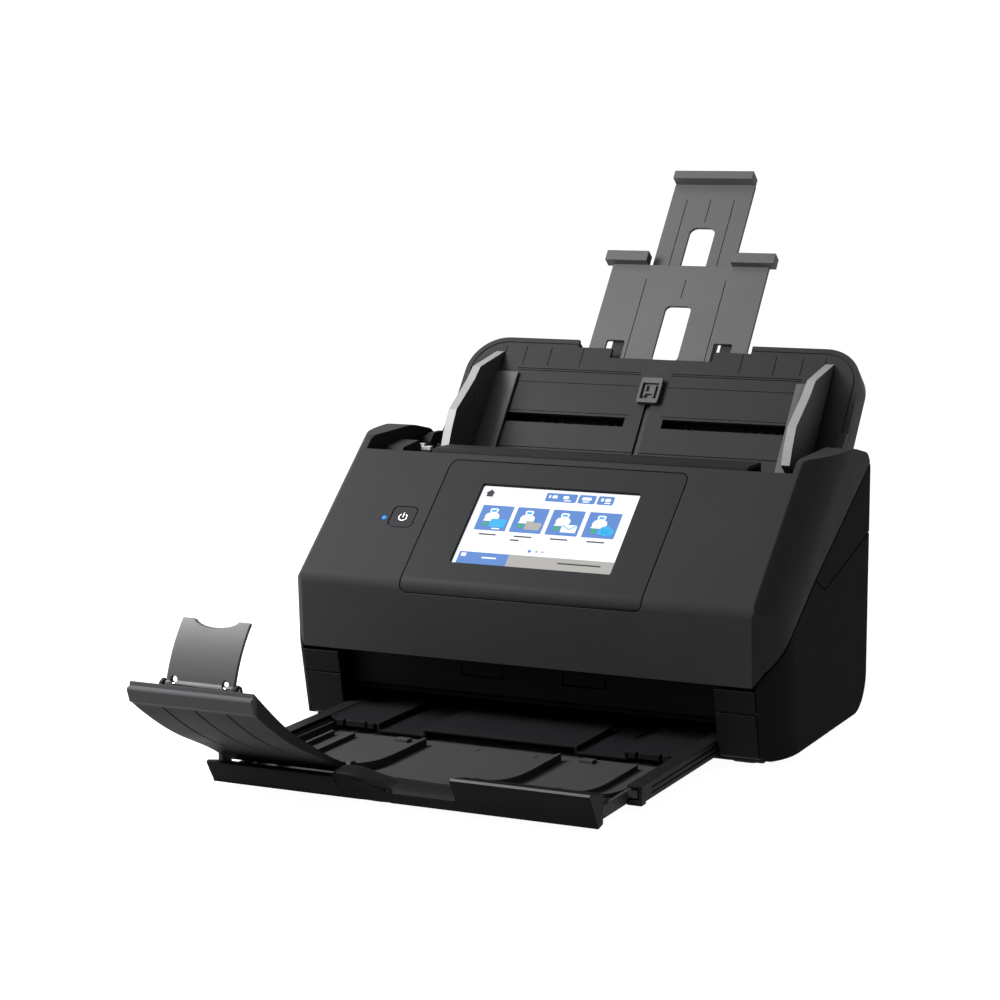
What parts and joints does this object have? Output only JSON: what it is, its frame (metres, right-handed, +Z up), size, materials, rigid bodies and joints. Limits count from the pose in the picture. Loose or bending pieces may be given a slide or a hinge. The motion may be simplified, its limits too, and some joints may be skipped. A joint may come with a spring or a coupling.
{
  "type": "sheet-fed document scanner",
  "caption": "Desktop sheet-fed document scanner with a folding input tray, sliding output tray, paper stop and a touch screen on its opening front cover.",
  "frame": {"origin": "on the ground under the middle of the whole bounding box, with every tray out as in the picture", "axes": "+X to the right of someone facing the scanner's front, +Y from the front to the back, +Z up"},
  "size_m": [0.296, 0.5294, 0.3116],
  "materials": {
    "charcoal": "finely textured",
    "panel": "fine satin",
    "display": "gloss",
    "inner": "matte",
    "tray": "satin",
    "extension": "satin",
    "guide": "satin",
    "switch": "matte",
    "light": "clear lens",
    "steel": "brushed",
    "rubber": "matte",
    "board": "solder mask",
    "metal": "satin",
    "black": "satin",
    "glass": "clear"
  },
  "bodies": {
    "base": {"side_cover_left": "charcoal", "side_cover_right": "charcoal", "wedge_cover_left": "charcoal", "wedge_cover_right": "charcoal", "rear_cover": "charcoal", "hinge_cover_left": "charcoal", "hinge_cover_right": "charcoal", "corner_cover_left": "charcoal", "corner_cover_right": "charcoal", "bottom_cover": "charcoal", "feed_bed": "inner", "frame_walls": "inner", "tray_hinge_pins": "steel", "cover_hinge_pins": "steel", "base_screws": "steel", "usb_sockets": "steel", "rubber_feet": "rubber", "drive_belt": "rubber", "main_board": "board", "feed_motor": "metal", "power_jack": "black", "rear_image_sensor": "black", "rear_scan_glass": "glass"},
    "scanner_cover": {"scanner_cover": "charcoal", "control_panel": "panel", "touch_screen": "display", "display_module": "inner", "panel_board": "board", "status_light": "light", "upper_paper_guide": "inner", "front_scan_glass": "glass", "front_image_sensor": "black", "roller_holder": "inner", "roller_clips": "inner", "lever_bracket": "inner"},
    "power_button": {"power_button": "panel"},
    "cover_lever": {"cover_lever": "charcoal"},
    "separation_switch": {"separation_switch": "switch"},
    "separation_roller": {"separation_roller": "rubber"},
    "upper_feed_rollers": {"upper_feed_rollers": "rubber"},
    "upper_exit_rollers": {"upper_exit_rollers": "rubber"},
    "input_tray": {"input_tray": "tray", "input_tray_back": "tray", "tray_screws": "steel"},
    "tray_extension": {"tray_extension": "extension"},
    "tray_extension_tip": {"tray_extension_tip": "extension"},
    "right_edge_guide": {"right_edge_guide": "guide"},
    "left_edge_guide": {"left_edge_guide": "guide"},
    "guide_pinion": {"guide_pinion": "guide"},
    "centre_clip": {"centre_clip": "guide"},
    "output_tray": {"output_tray": "tray"},
    "output_tray_extension": {"output_tray_extension": "tray", "paper_stop_pin": "steel"},
    "paper_stop": {"paper_stop": "tray", "stop_flap_pin": "steel"},
    "stop_flap": {"stop_flap": "tray"},
    "feed_roller": {"feed_roller": "rubber"},
    "exit_roller": {"exit_roller": "rubber"},
    "pickup_roller": {"pickup_roller": "rubber"},
    "motor_pulley": {"motor_pulley": "steel"}
  },
  "joints": [
    {"name": "cover_hinge", "type": "hinge", "parent": "base", "child": "scanner_cover", "pos_m": [0, -0.0295, 0.03], "axis": [-1, 0, 0], "range_deg": [-60, 0]},
    {"name": "power_button_slide", "type": "slide", "parent": "scanner_cover", "child": "power_button", "axis": [0, 0.6547, -0.7559], "range_m": [0, 0.0008], "stiffness_N_per_m": 250, "springref_m": -0.0008},
    {"name": "cover_lever_hinge", "type": "hinge", "parent": "scanner_cover", "child": "cover_lever", "pos_m": [0, 0.054, 0.1445], "axis": [1, 0, 0], "range_deg": [0, 15], "stiffness_Nm_per_rad": 0.04, "springref_deg": -17.19},
    {"name": "separation_switch_slide", "type": "slide", "parent": "scanner_cover", "child": "separation_switch", "axis": [0, -1, 0], "range_m": [0, 0.004]},
    {"name": "input_tray_hinge", "type": "hinge", "parent": "base", "child": "input_tray", "pos_m": [0, 0.105, 0.144], "axis": [1, 0, 0], "range_deg": [0, 128]},
    {"name": "tray_extension_slide", "type": "slide", "parent": "input_tray", "child": "tray_extension", "axis": [0, -0.6157, -0.788], "range_m": [0, 0.067]},
    {"name": "tray_extension_tip_slide", "type": "slide", "parent": "tray_extension", "child": "tray_extension_tip", "axis": [0, -0.6157, -0.788], "range_m": [0, 0.065]},
    {"name": "right_guide_slide", "type": "slide", "parent": "input_tray", "child": "right_edge_guide", "axis": [1, 0, 0], "range_m": [-0.08, 0.003]},
    {"name": "left_guide_slide", "type": "slide", "parent": "input_tray", "child": "left_edge_guide", "axis": [-1, 0, 0], "range_m": [-0.08, 0.003]},
    {"name": "guide_pinion_spin", "type": "hinge", "parent": "input_tray", "child": "guide_pinion", "pos_m": [0, 0.14258, 0.15945], "axis": [0, -0.788, 0.6157], "range_deg": [-600, 30]},
    {"name": "centre_clip_slide", "type": "slide", "parent": "input_tray", "child": "centre_clip", "axis": [0, 0.6157, 0.788], "range_m": [-0.034, 0]},
    {"name": "output_tray_slide", "type": "slide", "parent": "base", "child": "output_tray", "axis": [0, 1, 0], "range_m": [0, 0.1]},
    {"name": "output_extension_slide", "type": "slide", "parent": "output_tray", "child": "output_tray_extension", "axis": [0, 1, 0], "range_m": [0, 0.037]},
    {"name": "paper_stop_hinge", "type": "hinge", "parent": "output_tray_extension", "child": "paper_stop", "pos_m": [0, -0.169, 0.015], "axis": [-1, 0, 0], "range_deg": [0, 145]},
    {"name": "stop_flap_hinge", "type": "hinge", "parent": "paper_stop", "child": "stop_flap", "pos_m": [0, -0.251, 0.07], "axis": [-1, 0, 0], "range_deg": [0, 102]},
    {"name": "feed_roller_spin", "type": "hinge", "parent": "base", "child": "feed_roller", "pos_m": [0, 0.04892, 0.05272], "axis": [1, 0, 0], "continuous": true},
    {"name": "exit_roller_spin", "type": "hinge", "parent": "base", "child": "exit_roller", "pos_m": [0, 0.00351, 0.02939], "axis": [1, 0, 0], "continuous": true},
    {"name": "pickup_roller_spin", "type": "hinge", "parent": "base", "child": "pickup_roller", "pos_m": [0, 0.08967, 0.07565], "axis": [1, 0, 0], "continuous": true},
    {"name": "motor_spin", "type": "hinge", "parent": "base", "child": "motor_pulley", "pos_m": [0, 0.089, 0.05], "axis": [1, 0, 0], "continuous": true},
    {"name": "upper_feed_spin", "type": "hinge", "parent": "scanner_cover", "child": "upper_feed_rollers", "pos_m": [0, 0.04217, 0.06442], "axis": [1, 0, 0], "continuous": true},
    {"name": "upper_exit_spin", "type": "hinge", "parent": "scanner_cover", "child": "upper_exit_rollers", "pos_m": [0, -0.00169, 0.0384], "axis": [1, 0, 0], "continuous": true},
    {"name": "separation_roller_spin", "type": "hinge", "parent": "scanner_cover", "child": "separation_roller", "pos_m": [0, 0.06934, 0.09154], "axis": [1, 0, 0], "continuous": true}
  ],
  "couplings": [
    {"joint": "left_guide_slide", "follows": "right_guide_slide", "ratio": 1},
    {"joint": "guide_pinion_spin", "follows": "right_guide_slide", "rad_per_m": 125},
    {"joint": "stop_flap_hinge", "follows": "paper_stop_hinge", "ratio": 0.7},
    {"joint": "exit_roller_spin", "follows": "feed_roller_spin", "ratio": 1.125},
    {"joint": "pickup_roller_spin", "follows": "feed_roller_spin", "ratio": 0.75},
    {"joint": "motor_spin", "follows": "feed_roller_spin", "ratio": 1.5},
    {"joint": "upper_feed_spin", "follows": "feed_roller_spin", "ratio": -1.5385},
    {"joint": "upper_exit_spin", "follows": "feed_roller_spin", "ratio": -1.3451}
  ]
}
